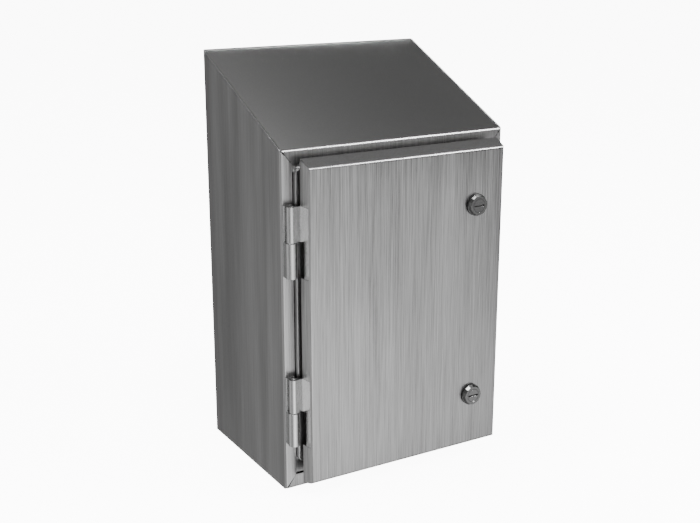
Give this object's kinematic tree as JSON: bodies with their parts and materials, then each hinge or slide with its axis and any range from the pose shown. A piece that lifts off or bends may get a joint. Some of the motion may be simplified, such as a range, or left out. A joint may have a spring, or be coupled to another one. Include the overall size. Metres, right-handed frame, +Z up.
{
  "type": "fused disconnect switch",
  "caption": "Sloped-top stainless enclosure with a side-hinged, quarter-turn-latched door over a panel-mounted rotary fused switch.",
  "frame": {"origin": "middle of the body's underside", "axes": "+Z up, +X to the right seen from the door side, +Y from the door to the back wall"},
  "size_m": [0.3048, 0.2415, 0.5024],
  "materials": {
    "brushed_stainless": "vertical brushed grain, satin",
    "polished_stainless": "polished",
    "stud_stainless": "machined",
    "zinc_plated_steel": "zinc plated, satin",
    "white_enamel": "baked enamel, satin",
    "black_rubber": "matt, fine-celled",
    "black_thermoset": "moulded, matt",
    "grey_nylon": "moulded, fine texture",
    "red_nylon": "moulded, semi-gloss",
    "tinned_copper": "tin plated",
    "aluminium": "extruded and machined",
    "fuse_tube": "glass melamine tube with metal ferrules"
  },
  "bodies": {
    "enclosure": {"body_earth_nut": "zinc_plated_steel", "body_earth_stud": "stud_stainless", "body_wrap": "brushed_stainless", "bottom_panel": "brushed_stainless", "door_collar": "brushed_stainless", "equipment_panel": "white_enamel", "left_fuse": "fuse_tube", "left_line_fuse_clip": "tinned_copper", "left_line_lug": "aluminium", "left_load_fuse_clip": "tinned_copper", "left_load_lug": "aluminium", "lower_hinge_body_leaf": "brushed_stainless", "lower_hinge_pin": "polished_stainless", "middle_fuse": "fuse_tube", "middle_line_fuse_clip": "tinned_copper", "middle_line_lug": "aluminium", "middle_load_fuse_clip": "tinned_copper", "middle_load_lug": "aluminium", "panel_nut_lower_left": "zinc_plated_steel", "panel_nut_lower_right": "zinc_plated_steel", "panel_nut_upper_left": "zinc_plated_steel", "panel_nut_upper_right": "zinc_plated_steel", "panel_stud_lower_left": "stud_stainless", "panel_stud_lower_right": "stud_stainless", "panel_stud_upper_left": "stud_stainless", "panel_stud_upper_right": "stud_stainless", "right_fuse": "fuse_tube", "right_line_fuse_clip": "tinned_copper", "right_line_lug": "aluminium", "right_load_fuse_clip": "tinned_copper", "right_load_lug": "aluminium", "sloped_top": "brushed_stainless", "switch_base": "black_thermoset", "switch_cover": "grey_nylon", "switch_mounting_screw_high": "zinc_plated_steel", "switch_mounting_screw_low": "zinc_plated_steel", "upper_hinge_body_leaf": "brushed_stainless", "upper_hinge_pin": "polished_stainless"},
    "door": {"door_earth_nut": "zinc_plated_steel", "door_earth_stud": "stud_stainless", "door_gasket": "black_rubber", "door_pan": "brushed_stainless", "lower_hinge_door_leaf": "polished_stainless", "lower_latch_housing": "polished_stainless", "lower_latch_nut": "zinc_plated_steel", "lower_latch_seal": "black_rubber", "upper_hinge_door_leaf": "polished_stainless", "upper_latch_housing": "polished_stainless", "upper_latch_nut": "zinc_plated_steel", "upper_latch_seal": "black_rubber"},
    "upper_latch": {"upper_latch_driver": "polished_stainless", "upper_latch_cam": "zinc_plated_steel", "upper_latch_cam_screw": "zinc_plated_steel"},
    "lower_latch": {"lower_latch_driver": "polished_stainless", "lower_latch_cam": "zinc_plated_steel", "lower_latch_cam_screw": "zinc_plated_steel"},
    "switch_rotor": {"switch_shaft": "zinc_plated_steel", "switch_handle": "red_nylon"}
  },
  "joints": [
    {"name": "door_hinge", "type": "hinge", "parent": "enclosure", "child": "door", "pos_m": [-0.1454, -0.1117, 0.2047], "axis": [0, 0, -1], "range_deg": [0, 180]},
    {"name": "upper_latch_turn", "type": "hinge", "parent": "door", "child": "upper_latch", "pos_m": [0.093, -0.1326, 0.3267], "axis": [0, 1, 0], "range_deg": [0, 90]},
    {"name": "lower_latch_turn", "type": "hinge", "parent": "door", "child": "lower_latch", "pos_m": [0.093, -0.1326, 0.0827], "axis": [0, 1, 0], "range_deg": [0, 90]},
    {"name": "switch_handle_turn", "type": "hinge", "parent": "enclosure", "child": "switch_rotor", "pos_m": [0, 0.004, 0.24], "axis": [0, 1, 0], "range_deg": [0, 90]}
  ]
}
